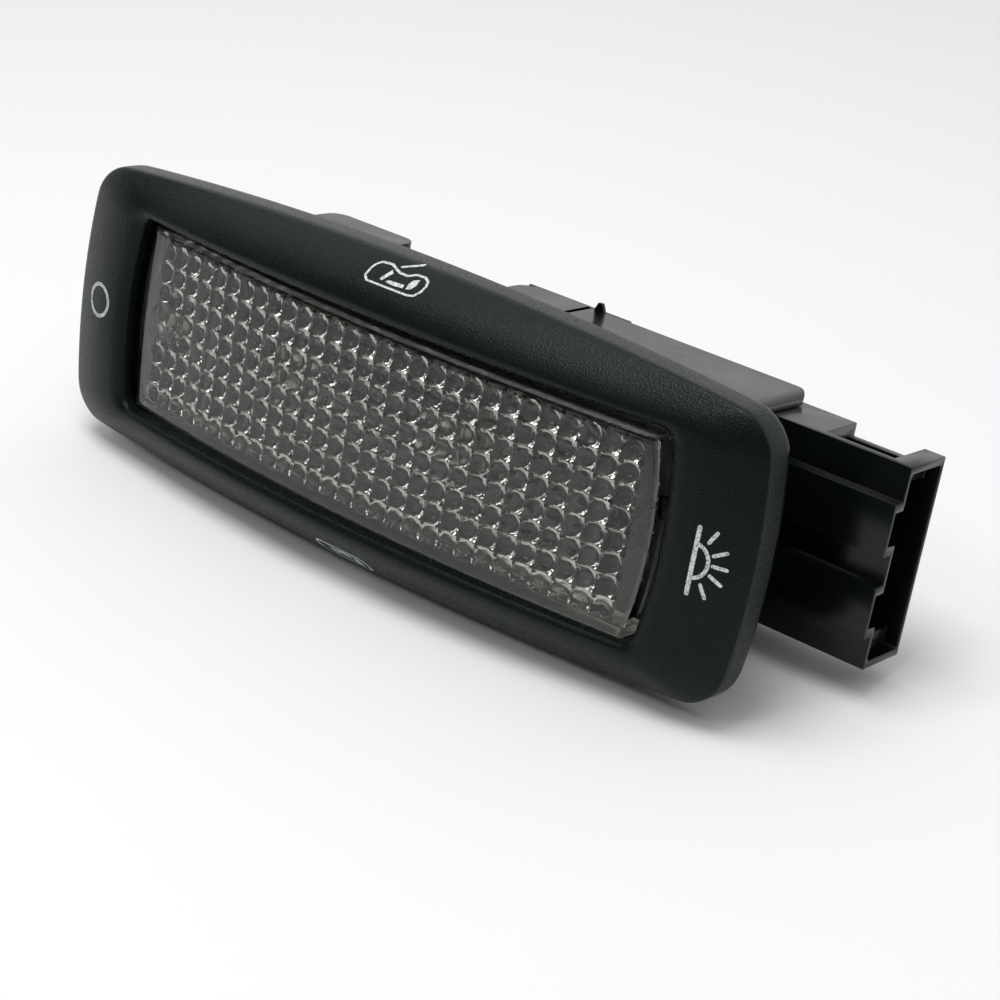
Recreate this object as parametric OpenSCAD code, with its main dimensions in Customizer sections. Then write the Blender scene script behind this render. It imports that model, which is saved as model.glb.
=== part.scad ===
// Car interior dome light. The smoked lens is a rocker that tilts about its middle: off, door, on.
// X runs along the light towards the connector, -Y points out of the lens, Z is the short side.
// The origin is the centre of the flange's back face, where the light seats against its panel.

/* [Bezel] */
// Overall length of the bezel at mid height
bezel_l = 150; // [142:0.5:170]
// Overall height of the bezel at mid length
bezel_h = 54.6; // [52:0.2:64]
// Bulge of each short end beyond its corners
bezel_end_sag = 2.3; // [0.5:0.1:4]
// Bulge of each long side beyond its corners
bezel_side_sag = 3.6; // [0.5:0.1:4.5]
// Corner radius of the bezel's outline
bezel_corner_r = 6; // [4:0.5:9]
// Height of the straight rim round the bezel
rim_h = 4.8; // [3.6:0.1:6]
// Wall thickness of the bezel
bezel_wall = 2; // [1.4:0.1:2.6]
// How far the bezel's crest stands above the level lens
bezel_proud = 0.4; // [0:0.1:1.5]
// Depth of the soft roll from the crest into the opening
roll_drop = 1.1; // [0.4:0.1:2]

/* [Lens] */
// Length of the lens from corner to corner
lens_l = 112; // [100:0.5:116]
// Height of the lens
lens_h = 33.4; // [30:0.2:35]
// Bulge of each lens end beyond its corners
lens_end_sag = 2; // [0.5:0.1:3.5]
// How far the lens face bows out between its ends
lens_crown = 4.4; // [2:0.1:6]
// Height of the lens face above the flange's back face at mid length
lens_face_h = 13.8; // [13:0.1:16]
// Thickness of the lens face
lens_t = 2.4; // [1.6:0.1:3]
// Thickness of the lens side walls
lens_skirt_t = 1.6; // [1.2:0.1:2.2]
// Gap between the lens and the long sides of the opening
lens_side_gap = 1; // [0.6:0.1:1.6]
// Gap between the lens and the end of the opening beside the connector
lens_end_gap = 1; // [0.8:0.1:2]
// How far the lens sits towards the connector in its opening
lens_shift = 0.6; // [0:0.1:1]
// Tilt from level to either pressed end, in degrees
lens_tilt = 1.2; // [0.8:0.1:1.4]

/* [Pivot] */
// Radius of the lens trunnions
pivot_r = 1.5; // [1.1:0.1:1.7]
// Radial clearance of the trunnions in their bores
pivot_clear = 0.05; // [0.02:0.01:0.1]
// Height of the pivot axis above the flange's back face
pivot_h = 4.2; // [3.8:0.1:4.6]

/* [Housing] */
// Thickness of the seating flange
flange_t = 1.2; // [0.8:0.1:2]
// Setback of the flange's edge from the bezel's edge
flange_inset = 0.5; // [0.2:0.1:1.5]
// Length of the case behind the flange
case_l = 115; // [112:0.5:118]
// Height of the case behind the flange
case_h = 38; // [36.6:0.2:40]
// Depth of the case's shallow parts
case_shallow = 20.8; // [19.5:0.1:22]
// Depth of the case's two deep chambers
case_deep = 28.3; // [26.6:0.1:32]
// Wall thickness of the case
case_wall = 1.5; // [1.2:0.1:2]
// Corner radius of the case in plan
case_r = 3; // [2:0.1:4]
// Left end of the small deep chamber
small_chamber_x = -46; // [-50:0.5:-44]
// Length of the small deep chamber
small_chamber_l = 20; // [16:0.5:24]
// Left end of the large deep chamber
large_chamber_x = -0.5; // [-6:0.5:2]
// How far the end ribs of the case stand out beside the connector
end_rib_l = 1.6; // [0.6:0.1:2.4]
// Height of the collar that guides the bezel
collar_h = 5.4; // [4.6:0.1:6]
// Wall thickness of the collar
collar_t = 1.4; // [1:0.1:1.8]

/* [Rear cover] */
// Thickness of the rear cover
cover_t = 1.5; // [1:0.1:2]
// How far the raised pad of the cover stands proud of the case
cover_pad_h = 0.7; // [0.4:0.1:1.5]
// Length of the raised pad
cover_pad_l = 22; // [19:0.5:30]
// Height of the latch nose above the case
latch_h = 1.3; // [0.8:0.1:2]

/* [Connector] */
// Distance of the connector's open end from the middle of the light
socket_end_x = 84.7; // [80:0.1:90]
// Height of the connector shell
socket_h = 34; // [31:0.2:36]
// Setback of the connector shell from the case's back
socket_setback = 0.5; // [0:0.1:1.4]
// Depth of the connector shell from front to back
socket_d = 10.9; // [10:0.1:11]
// Wall thickness of the connector shell
socket_wall = 1.3; // [1:0.1:1.5]
// Thickness of the connector shell's front and back
socket_side_wall = 0.8; // [0.6:0.1:1.2]
// Length of the solid block next to the case
socket_block_l = 11; // [8:0.5:12]
// Depth of the step between the block and the open shell
socket_step = 2.2; // [1:0.1:2.4]
// Extra depth of the groove between the shell's front lip and back ridge
socket_groove = 0.8; // [0.3:0.1:1]
// Length of the collar at the open end
socket_collar_l = 3.9; // [2.5:0.1:5]
// Outer width of one raised key channel
key_w = 8.8; // [7:0.1:9.5]
// Distance of each key channel from the middle
key_z = 6.9; // [5.8:0.1:7.5]
// How far the key channels stand proud
key_h = 2.3; // [1:0.1:3]
// Thickness of a key channel's side walls
key_wall = 1.6; // [1:0.1:1.8]
// Width of a terminal blade
blade_w = 2.8; // [2:0.1:3.2]
// Thickness of the brass strips and blades
strip_t = 0.8; // [0.5:0.1:1]
// Distance between neighbouring blades
blade_pitch = 8; // [7.6:0.1:8]

/* [Light source] */
// Length of the festoon bulb over its caps
bulb_l = 41; // [36:0.5:44]
// Radius of the bulb's glass
bulb_r = 5.2; // [4:0.1:5.6]
// Radius of the bulb's caps
cap_r = 4.25; // [3.5:0.05:4.6]
// Place of the bulb's middle along the light
bulb_x = -4; // [-8:0.5:2]
// Gap between the bulb's glass and the bottom of the reflector
bulb_gap = 2; // [1.6:0.1:2.8]
// Gap between the reflector's back and the strips behind it
trough_gap = 2.1; // [1.5:0.1:2.7]
// Wall thickness of the reflector
reflector_t = 1; // [0.8:0.1:1.2]
// Length of the flat deck at each end of the reflector
deck_l = 14; // [12.5:0.5:15]

/* [Hidden] */
$fn = 64;

eps = 0.01;
seat_gap = 0.1;
run_gap = 0.3;

// Outline of the bezel and of its opening: half sizes to the corners, before the sides bulge
bezel_a = bezel_l / 2 - bezel_end_sag;
bezel_b = bezel_h / 2 - bezel_side_sag;
open_a = lens_l / 2 + lens_end_gap + lens_shift;
open_b = lens_h / 2 + lens_side_gap;
open_corner_r = 2.2;
rim_top = flange_t + rim_h;
lip_back_h = flange_t + collar_h + 0.4;
lip_t = 1.5;

// Points in each stretch of an outline ring
end_steps = 6;
side_steps = 16;
corner_steps = 6;

// Share of the rail's width at which the crest lies
crest_share = 0.8;
crown_power = 1.6;

// Radius of the lens face along its length, and of its ends in outline
face_r = (pow(lens_l / 2, 2) + pow(lens_crown, 2)) / (2 * lens_crown);
lens_end_r = (pow(lens_h / 2, 2) + pow(lens_end_sag, 2)) / (2 * lens_end_sag);

// Collar and case
collar_in_z = open_b;
collar_out_z = collar_in_z + collar_t;
collar_in_x = open_a + lens_end_sag + 0.4;
collar_corner_r = 1;
case_edge_r = 1.2;
cavity_l = case_l - 2 * case_wall;
cavity_h = case_h - 2 * case_wall;
case_x1 = case_l / 2;
end_rib_h = 5.2;
end_rib_r = 2;

// Pivot, and how far the lens ends move when it tilts
pivot_y = -pivot_h;
trunnion_l = collar_out_z - lens_h / 2 - 0.2;
end_swing = (lens_l / 2 + lens_shift + lens_end_sag) * sin(lens_tilt);
lens_back_h = flange_t + end_swing + run_gap;

// Left post of the lens, its well in the reflector and the switch below
post_x = -(cavity_l / 2 - 5.2);
post_r = 3.8;
post_wall = 1;
post_end_y = 2.2;
post_hollow_gap = 2.5;
bridge_t = 0.4;
bridge_pin_l = 2;
well_r = post_r + 0.9;
swing = -post_x * sin(lens_tilt);

// Right foot of the lens with its detent notches
foot_x = cavity_l / 2 - 4;
foot_t = 3;
foot_w = 7;
foot_end_y = 4.5;
foot_room = 0.7;
notch_r = 0.75;
notch_y = 2.6;
notch_out = 0.4;

// Strips between the back of the case and the reflector
strip_room = 2 * seat_gap + 0.2;
low_bus_y = case_shallow - case_wall - strip_room - strip_t / 2;
riser_y = low_bus_y - strip_t - 1.2;

// Reflector
deck_y = 0.4;
trough_d = riser_y - strip_t / 2 - trough_gap;
bulb_y = trough_d - bulb_r - bulb_gap;
reflector_l = cavity_l - 2 * seat_gap;
reflector_h = cavity_h - 2 * seat_gap;
trough_x0 = -reflector_l / 2 + deck_l;
trough_x1 = reflector_l / 2 - deck_l;
trough_r = (pow(reflector_h / 2, 2) + pow(trough_d, 2)) / (2 * trough_d);
trough_y = trough_d - trough_r;
window_x = 26;
window_y = 5;
window_z = -12.5;
window_l = 10;
window_h = 7.5;

// Connector: shell, key channels and the three blades
socket_back_y = case_deep - socket_setback;
socket_front_y = socket_back_y - socket_d;
socket_x0 = case_x1;
socket_cavity_z = socket_h / 2 - socket_step - socket_groove - socket_wall;
socket_lip_y = socket_front_y + 1.6;
socket_ridge_y = socket_back_y - 1.6;
socket_fillet = 0.8;
blade_y = socket_front_y + socket_d / 2;
blade_l = 8;
blade_x0 = socket_x0 + socket_block_l;
strip_w = 4;

// Bulb and its holders
cap_l = 7;
cap_wall = 0.4;
neck_r = cap_r - cap_wall - 0.1;
glass_t = 0.7;
holder_w = 8;
holder_x = bulb_l / 2 + seat_gap + strip_t / 2;
holder_top_y = bulb_y - cap_r;
bus_y = blade_y;

// Rear cover
cover_y0 = case_deep - cover_t;
cover_x0 = large_chamber_x + case_wall + seat_gap;
cover_x1 = case_x1 - case_wall - seat_gap;
cover_h = cavity_h - 2 * seat_gap;
pad_x0 = large_chamber_x + 0.5;
latch_x = large_chamber_x + 16;
latch_w = 2.8;
latch_arm_t = 1.2;
latch_arm_l = 3;
latch_nose = [1.5, 0.4];

// Leaf springs, rivets, and the switch parts below the post
leaf_t = 0.3;
clip_t = 0.5;
clip_w = 12;
clip_inset = 4;
clip_root_y = 8.6;
clip_knee = [1.4, 7.2];
clip_nose = [[3.6, 5.8], [3.9, 4.9]];
clip_tip = [1.2, 2.8];
touch_gap = 0.02;
button_t = 0.5;
button_r = 1;
rivet_head_t = 0.6;
small_rivet_r = 1.1;
rivet_r = 1.3;
clip_rivet_r = 1.6;
rivet_edge = 0.5;
switch_inset = 4;
switch_root_x = trough_x0 - 3;
switch_root_y = 6;
spring_y = post_end_y + bridge_t + run_gap + leaf_t / 2;
ground_x = 1.2 - cavity_l / 2;
ground_y = 9;
ground_tip_l = 3.4;
door_x = post_x - 1.2;
door_y = 6.2;
door_tip_l = 4;

function mix(a, b, t) = a + (b - a) * t;

// Points from one place to another, without the last
function run(p, q, steps) = [for (i = [0:steps - 1]) mix(p, q, i / steps)];

// Quarter of a circle from one angle on, without its last point
function quarter(x, y, r, from) = [
    for (i = [0:corner_steps - 1])
        let (angle = from + 90 * i / corner_steps)
            [x + r * cos(angle), y + r * sin(angle)]
];

// Rounded rectangle with half sizes a and b and corner radius r, as a ring of points
function round_ring(a, b, r) = concat(
    run([a, r - b], [a, b - r], end_steps),
    quarter(a - r, b - r, r, 0),
    run([a - r, b], [r - a, b], side_steps),
    quarter(r - a, b - r, r, 90),
    run([-a, b - r], [-a, r - b], end_steps),
    quarter(r - a, r - b, r, 180),
    run([r - a, -b], [a - r, -b], side_steps),
    quarter(a - r, r - b, r, 270)
);

// The same ring with bulging ends and sides
function barrel_ring(a, b, r, end_sag, side_sag) = [
    for (p = round_ring(a, b, r))
        let (u = p[0] / a, v = p[1] / b)
            [p[0] + end_sag * (1 - v * v) * u, p[1] + side_sag * (1 - u * u) * v]
];

// Outline part of the way from the bezel's edge (0) to its opening (1), grown outwards by some length
function bezel_ring(t, grow = 0) = barrel_ring(
    mix(bezel_a, open_a, t) + grow, mix(bezel_b, open_b, t) + grow,
    mix(bezel_corner_r, open_corner_r, t) + grow,
    mix(bezel_end_sag, lens_end_sag, t), mix(bezel_side_sag, 0, t)
);

// Height of the crest line above the flange's back face, which follows the bow of the lens
function crest_h(x) = lens_face_h + bezel_proud - lens_crown * pow(min(abs(x), open_a) / (lens_l / 2), 2);

// Share of the crest's rise that the crown has reached, part of the way across the rail
function crown_rise(t) = 1 - pow(1 - min(t / crest_share, 1), crown_power);
function roll_fall(t) = 1 - sqrt(1 - pow(max(t - crest_share, 0) / (1 - crest_share), 2));
function crown_h(t, x) = rim_top + (crest_h(x) - rim_top) * crown_rise(t) - roll_drop * roll_fall(t);

function flat_ring(ring, h) = [for (p = ring) [p[0], -h, p[1]]];
function crown_ring(t) = [for (p = bezel_ring(t)) [p[0], -crown_h(t, p[0]), p[1]]];
function under_ring(t, grow) = [for (p = bezel_ring(t, grow)) [p[0], bezel_wall - crown_h(t, p[0]), p[1]]];

crown_steps = [0.03, 0.1, 0.2, 0.32, 0.46, 0.62, 0.8, 0.87, 0.93, 0.975, 1];
under_steps = [0.86, 0.6, 0.35, 0.16];

// Closed loft: each ring joined to the next and the last to the first
module loop_loft(rings) {
    n = len(rings[0]);
    m = len(rings);
    polyhedron(
        points = [for (ring = rings) each ring],
        faces = [
            for (k = [0:m - 1], i = [0:n - 1])
                let (j = (i + 1) % n, next = (k + 1) % m, a = k * n + i, c = next * n + j)
                    each [[a, c, k * n + j], [a, next * n + i, c]]
        ]
    );
}

// Extrusion of a flat X-Z shape between two depths
module between_y(y0, y1) {
    translate([0, y1, 0])
        rotate([90, 0, 0])
            linear_extrude(height = y1 - y0)
                children();
}

// Extrusion of a flat X-Y shape over a height that is centred on Z
module centred_z(h) {
    translate([0, 0, -h / 2])
        linear_extrude(height = h)
            children();
}

// Box between two corners
module box(low, high) {
    translate(low)
        cube(high - low);
}

// Flat rounded rectangle from its low to its high corner
module round_rect(x0, y0, x1, y1, r) {
    for (x = [x0 + r, x1 - r], y = [y0 + r, y1 - r])
        translate([x, y])
            circle(r);
    translate([x0 + r, y0])
        square([x1 - x0 - 2 * r, y1 - y0]);
    translate([x0, y0 + r])
        square([x1 - x0, y1 - y0 - 2 * r]);
}

// Bezel: one moulded shell with a straight rim, a convex crown and a lip round the lens
module bezel() {
    color("#23292b")
        loop_loft(concat(
            [flat_ring(bezel_ring(0), flange_t)],
            [flat_ring(bezel_ring(0), rim_top - 0.5)],
            [flat_ring(bezel_ring(0, -0.14), rim_top - 0.12)],
            [for (t = crown_steps) crown_ring(t)],
            [flat_ring(bezel_ring(1), lip_back_h)],
            [flat_ring(bezel_ring(1, lip_t), lip_back_h)],
            [for (t = under_steps) under_ring(t, 0)],
            [flat_ring(bezel_ring(0, -bezel_wall), rim_top - bezel_wall)],
            [flat_ring(bezel_ring(0, -bezel_wall), flange_t)]
        ));
}

// Outline of the lens, drawn in by some length
module lens_outline(inset) {
    centre_x = lens_l / 2 + lens_end_sag - lens_end_r;
    intersection() {
        translate([centre_x, 0])
            circle(lens_end_r - inset, $fn = 180);
        translate([-centre_x, 0])
            circle(lens_end_r - inset, $fn = 180);
        square([lens_l * 2, lens_h - 2 * inset], center = true);
    }
}

// Everything behind the bowed face of a level lens, or of a surface some depth below it
module behind_face(depth) {
    translate([0, face_r - lens_face_h, 0])
        cylinder(r = face_r - depth, h = lens_h * 2, center = true, $fn = 360);
}

// Lens in its level position: bowed face, side walls, trunnions, switch post and detent foot
module level_lens() {
    translate([lens_shift, 0, 0])
        difference() {
            intersection() {
                between_y(-lens_face_h - 1, -lens_back_h)
                    lens_outline(0);
                behind_face(0);
            }
            intersection() {
                between_y(-lens_face_h - 1, 0)
                    lens_outline(lens_skirt_t);
                behind_face(lens_t);
            }
        }
    for (side = [-1, 1])
        translate([0, pivot_y, side * (lens_h / 2 - eps)])
            rotate([side < 0 ? 180 : 0, 0, 0])
                cylinder(r = pivot_r, h = trunnion_l);
    switch_post();
    detent_foot();
}

// Place of the level lens's face, at some distance from the pivot
function face_y(x) = face_r - lens_face_h - sqrt(pow(face_r, 2) - pow(x - lens_shift, 2));

// Hollow round post at the left end, which works the switch
module switch_post() {
    top_y = face_y(post_x + post_r) + lens_t - 1;
    end_y = post_end_y - swing;
    translate([post_x, end_y, 0])
        rotate([90, 0, 0])
            difference() {
                cylinder(r = post_r, h = end_y - top_y);
                translate([0, 0, -eps])
                    cylinder(r = post_r - post_wall, h = end_y - top_y - post_hollow_gap);
            }
}

// Foot at the right end, with a notch for each of the three positions
module detent_foot() {
    top_y = face_y(foot_x) + lens_t - 1;
    difference() {
        box([foot_x - foot_t / 2, top_y, -foot_w / 2], [foot_x + foot_t / 2, foot_end_y, foot_w / 2]);
        for (step = [-1, 0, 1])
            translate([foot_x + foot_t / 2 + notch_out, notch_y + step * swing, 0])
                cylinder(r = notch_r, h = foot_w + 1, center = true);
    }
}

// Turns what belongs to the lens from level to its rest position, pressed in at the left
module at_rest() {
    translate([0, pivot_y, 0])
        rotate([0, 0, -lens_tilt])
            translate([0, -pivot_y, 0])
                children();
}

module rocker_lens() {
    color("#6c6a66")
        at_rest()
            level_lens();
}

// Bright metal bridge pressed over the end of the post
module rocker_contact() {
    color("#d4d2ca")
        at_rest()
            translate([post_x, post_end_y - swing, 0])
                rotate([-90, 0, 0]) {
                    cylinder(r = post_r, h = bridge_t);
                    translate([0, 0, -bridge_pin_l])
                        cylinder(r = post_r - post_wall - seat_gap, h = bridge_pin_l + eps);
                }
}

// Plan of the case, drawn in by some length, with deep chambers that may run on past the back
module case_plan(inset, past = 0) {
    front = -flange_t / 2;
    round_rect(inset - case_x1, front, case_x1 - inset, case_shallow - inset, case_r - inset);
    round_rect(small_chamber_x + inset, front, small_chamber_x + small_chamber_l - inset, case_deep - inset,
               case_r - inset);
    round_rect(large_chamber_x + inset, front, case_x1 - inset, case_deep - inset + past, case_r - inset);
    translate([inset - case_x1, front])
        square([case_l - 2 * inset, case_r + 1]);
}

// Room for the lens inside the collar, grown outwards by some length
module collar_outline(grow) {
    half_l = collar_in_x + grow;
    half_h = collar_in_z + grow;
    round_rect(-half_l, -half_h, half_l, half_h, collar_corner_r + grow);
}

// Rounded rib at the case's end, cut away where the connector stands
module end_rib(z0, z1) {
    difference() {
        intersection() {
            between_y(-flange_t / 2, case_deep)
                round_rect(case_x1 - 2 * end_rib_r, z0, case_x1 + end_rib_l, z1, end_rib_r);
            centred_z(case_h)
                round_rect(case_x1 - 3 * end_rib_r, -case_deep, case_x1 + end_rib_l, case_deep, case_r);
        }
        box([case_x1, socket_front_y - seat_gap, -socket_h / 2 - seat_gap],
            [case_x1 + end_rib_l + 1, case_deep + 1, socket_h / 2 + seat_gap]);
    }
}

// Housing: seating flange, collar with the trunnion bores, and the stepped case
module housing() {
    flange_ring = barrel_ring(bezel_a - flange_inset, bezel_b - flange_inset, bezel_corner_r - flange_inset,
                              bezel_end_sag, bezel_side_sag);
    color("#16191a")
        difference() {
            union() {
                between_y(-flange_t, 0)
                    polygon(flange_ring);
                between_y(-flange_t - collar_h, -flange_t + eps)
                    collar_outline(collar_t);
                intersection() {
                    centred_z(case_h)
                        case_plan(0);
                    between_y(-flange_t, case_deep + 1)
                        round_rect(-case_x1, -case_h / 2, case_x1, case_h / 2, case_edge_r);
                }
                end_rib(case_h / 2 - end_rib_h, case_h / 2);
                end_rib(-case_h / 2, end_rib_h - case_h / 2);
            }
            centred_z(cavity_h)
                case_plan(case_wall, 5);
            between_y(-flange_t - collar_h - 1, -flange_t)
                collar_outline(0);
            between_y(-flange_t - 1, 1)
                square([cavity_l, cavity_h], center = true);
            translate([0, pivot_y, 0])
                cylinder(r = pivot_r + pivot_clear, h = bezel_h, center = true);
            for (side = [-1, 1])
                translate([latch_x - latch_w / 2 - 0.5, case_deep, side * case_h / 2])
                    cube([1, 2 * (case_deep - case_shallow), 4 * case_wall], center = true);
            box([case_x1 - case_wall - 1, blade_y - 2, -blade_pitch - strip_w / 2 - 1],
                [case_x1 + 1, blade_y + 2, blade_pitch + strip_w / 2 + 1]);
        }
}

// Rear cover: plate inside the deep chamber, a proud pad over its edge, latch arms and noses
module rear_cover() {
    color("#1b1e1f") {
        box([cover_x0, cover_y0, -cover_h / 2], [cover_x1, case_deep + eps, cover_h / 2]);
        box([pad_x0, case_deep, -case_h / 2], [pad_x0 + cover_pad_l, case_deep + cover_pad_h, case_h / 2]);
        for (side = [-1, 1]) {
            between_y(case_deep, case_deep + cover_pad_h)
                polygon([
                    for (p = [[-latch_nose[0], -1], [-latch_nose[1], latch_h], [latch_nose[1], latch_h],
                              [latch_nose[0], -1]])
                        [latch_x + p[0], side * (case_h / 2 + p[1])]
                ]);
            translate([latch_x, cover_y0 - latch_arm_l / 2, side * (cover_h - latch_arm_t) / 2])
                cube([latch_w, latch_arm_l + eps, latch_arm_t], center = true);
        }
    }
}

// Connector: block against the case, open shell with two raised key channels, and slots for the strips
module connector_socket() {
    half_h = socket_h / 2;
    collar_x = socket_end_x - socket_collar_l;
    inner_y0 = socket_front_y + socket_side_wall;
    inner_y1 = socket_back_y - socket_side_wall;
    key_in = key_w / 2 - key_wall;
    slot = [socket_block_l + 2, strip_t + 2 * seat_gap, strip_w + 2 * seat_gap];
    color("#131617")
        difference() {
            union() {
                box([socket_x0, socket_front_y, -half_h], [socket_end_x, socket_back_y, half_h]);
                for (side = [-1, 1])
                    box([socket_x0 + 1, socket_front_y - key_h, side * key_z - key_w / 2],
                        [socket_end_x, socket_front_y + eps, side * key_z + key_w / 2]);
            }
            for (side = [-1, 1]) {
                edge_recess(side, socket_step, socket_back_y + 1);
                edge_recess(side, socket_step + socket_groove, socket_ridge_y);
                box([blade_x0, socket_front_y - key_h + socket_side_wall, side * key_z - key_in],
                    [socket_end_x + 1, inner_y0 + eps, side * key_z + key_in]);
            }
            box([blade_x0, inner_y0, -socket_cavity_z], [socket_end_x + 1, inner_y1, socket_cavity_z]);
            along_x(collar_x + socket_wall, socket_end_x + 1)
                round_rect(inner_y0, socket_wall - half_h, inner_y1, half_h - socket_wall, socket_fillet);
            for (k = [-1, 0, 1])
                translate([socket_x0 + socket_block_l / 2, blade_y, k * blade_pitch])
                    cube(slot, center = true);
        }
}

// Recess along one long edge of the connector shell, from its front lip back
module edge_recess(side, depth, end_y) {
    middle = side * (socket_h - depth + 1) / 2;
    half = (depth + 1) / 2;
    box([blade_x0, socket_lip_y, middle - half], [socket_end_x - socket_collar_l, end_y, middle + half]);
}

// Reflector: trough between two flat decks, with the well, the foot's hole, holder slots and a window
module reflector() {
    half_h = reflector_h / 2;
    color("#8b8c89")
        difference() {
            union() {
                for (x = [-reflector_l / 2, trough_x1 - reflector_t])
                    box([x, deck_y, -half_h], [x + deck_l + reflector_t, deck_y + reflector_t, half_h]);
                along_x(trough_x0, trough_x1)
                    trough_section(0);
            }
            along_x(trough_x0 + reflector_t, trough_x1 - reflector_t)
                trough_section(reflector_t);
            translate([post_x, deck_y, 0])
                rotate([90, 0, 0])
                    cylinder(r = well_r, h = 6, center = true);
            box([foot_x - foot_t / 2 - foot_room, deck_y - 1, -foot_w / 2 - foot_room],
                [foot_x + foot_t / 2 + foot_room, deck_y + 3, foot_w / 2 + foot_room]);
            for (side = [-1, 1])
                translate([bulb_x + side * holder_x, trough_d, 0])
                    cube([strip_t + 4 * seat_gap, trough_d, holder_w + 4 * seat_gap], center = true);
            box([window_x, window_y, window_z], [window_x + window_l, trough_d + 1, window_z + window_h]);
        }
}

module trough_section(inset) {
    intersection() {
        translate([trough_y, 0])
            circle(trough_r - inset, $fn = 120);
        translate([deck_y - (inset > 0 ? 1 : 0), -reflector_h])
            square([trough_d * 2, reflector_h * 2]);
    }
}

// Extrusion of a flat Y-Z shape between two places along the light
module along_x(x0, x1) {
    translate([x0, 0, 0])
        rotate([90, 0, 90])
            linear_extrude(height = x1 - x0)
                children();
}

// Turned shape on the bulb's axis, from points of distance along it and radius
module turned(points) {
    translate([bulb_x, bulb_y, 0])
        rotate([0, 90, 0])
            rotate_extrude()
                polygon([for (p = points) [p[1], p[0]]]);
}

module bulb_glass() {
    neck_x = bulb_l / 2 - cap_l + 2.5;
    taper_x = bulb_l / 2 - cap_l - 0.2;
    body_x = taper_x - 3;
    bore_r = neck_r - glass_t;
    wide_r = bulb_r - glass_t;
    color("#d8dcdc")
        turned([[-neck_x, bore_r], [-neck_x, neck_r], [-taper_x, neck_r], [-body_x, bulb_r],
                [body_x, bulb_r], [taper_x, neck_r], [neck_x, neck_r], [neck_x, bore_r],
                [taper_x, bore_r], [body_x, wide_r], [-body_x, wide_r], [-taper_x, bore_r]]);
}

// One cap of the bulb, as a cup with a domed end
module bulb_cap(side) {
    end_x = bulb_l / 2;
    rim_x = end_x - cap_l;
    floor_x = end_x - 2.2;
    bore_r = cap_r - cap_wall;
    profile = [[end_x, 0], [end_x, 1.6], [end_x - 1.4, cap_r - 0.6], [end_x - 2, cap_r],
               [rim_x, cap_r], [rim_x, bore_r], [floor_x, bore_r], [floor_x, 0]];
    color("#b9b6ae")
        turned([for (p = profile) [side * p[0], p[1]]]);
}

// Coiled filament on its two lead wires
module bulb_filament() {
    wire_r = 0.25;
    coil_r = 0.7;
    coil_l = 9;
    color("#5a5a58") {
        translate([bulb_x, bulb_y, 0])
            rotate([0, 90, 0])
                cylinder(r = wire_r, h = bulb_l - 4.4, center = true, $fn = 24);
        for (k = [0:8])
            translate([bulb_x - coil_l / 2 + k * coil_l / 9 + 0.5, bulb_y, 0])
                rotate([0, 90, 0])
                    cylinder(r = coil_r, h = 0.5, center = true, $fn = 24);
    }
}

// Upright brass plate that holds one end of the bulb, down to some depth
module bulb_holder(side, end_y) {
    x = bulb_x + side * holder_x;
    difference() {
        box([x - strip_t / 2, holder_top_y, -holder_w / 2], [x + strip_t / 2, end_y, holder_w / 2]);
        translate([x, bulb_y, 0])
            rotate([0, 90, 0])
                cylinder(r = 1.3, h = 2, center = true);
    }
}

// Flat run of strip along the light
module bus(x0, x1, y, z, w = strip_w) {
    box([x0, y - strip_t / 2, z - w / 2], [x1, y + strip_t / 2, z + w / 2]);
}

// Upright stretch of strip between two depths
module upright(x, y0, y1, z, w = strip_w) {
    box([x, y0, z - w / 2], [x + strip_t, y1, z + w / 2]);
}

// Blade of the connector with its strip through the block
module blade_run(x0, z) {
    bus(x0, blade_x0, bus_y, z);
    bus(blade_x0 - eps, blade_x0 + blade_l, bus_y, z, blade_w);
}

// Strip that steps up from the large chamber and runs to the switch
module low_run(z, end_x) {
    step_x = cover_x0 + 2;
    blade_run(step_x, z);
    upright(step_x, min(low_bus_y, bus_y) - strip_t / 2, max(low_bus_y, bus_y) + strip_t / 2, z);
    bus(end_x, step_x + eps, low_bus_y, z);
}

module supply_strip() {
    x = bulb_x + holder_x - strip_t / 2;
    z = blade_pitch;
    color("#c9b26a") {
        bulb_holder(1, riser_y);
        box([x, riser_y - eps, -holder_w / 2], [x + strip_t, riser_y + 2, z + strip_w / 2]);
        upright(x, riser_y, bus_y + strip_t / 2, z);
        blade_run(x, z);
    }
}

module lamp_strip() {
    x = bulb_x - holder_x;
    color("#c9b26a") {
        bulb_holder(-1, riser_y + strip_t / 2);
        bus(switch_root_x, x + strip_t / 2, riser_y, 0);
        upright(switch_root_x, switch_root_y, riser_y + strip_t / 2, 0);
    }
}

module ground_strip() {
    color("#c9b26a") {
        low_run(0, ground_x);
        upright(ground_x, ground_y, low_bus_y + strip_t / 2, 0);
        bus(ground_x, ground_x + ground_tip_l, ground_y, 0);
    }
}

module door_strip() {
    color("#c9b26a") {
        low_run(-blade_pitch, door_x);
        upright(door_x, door_y, low_bus_y + strip_t / 2, -blade_pitch);
        bus(door_x, door_x + door_tip_l, door_y, -blade_pitch);
    }
}

function unit(v) = v / norm(v);
function normal(a, b) = let (d = unit(b - a)) [-d[1], d[0]];

// Points beside a path, at some distance to its left
function beside(path, h) = [
    for (i = [0:len(path) - 1])
        let (
            last = len(path) - 1,
            n0 = normal(path[max(i - 1, 0)], path[max(i, 1)]),
            n1 = normal(path[min(i, last - 1)], path[min(i + 1, last)]),
            m = unit(n0 + n1)
        )
            path[i] + m * h / (m * n0)
];
function reversed(list) = [for (i = [len(list) - 1:-1:0]) list[i]];

// Bent leaf of sheet metal from its path in plan
module leaf(path, t, w) {
    centred_z(w)
        polygon(concat(beside(path, t / 2), reversed(beside(path, -t / 2))));
}

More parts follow.
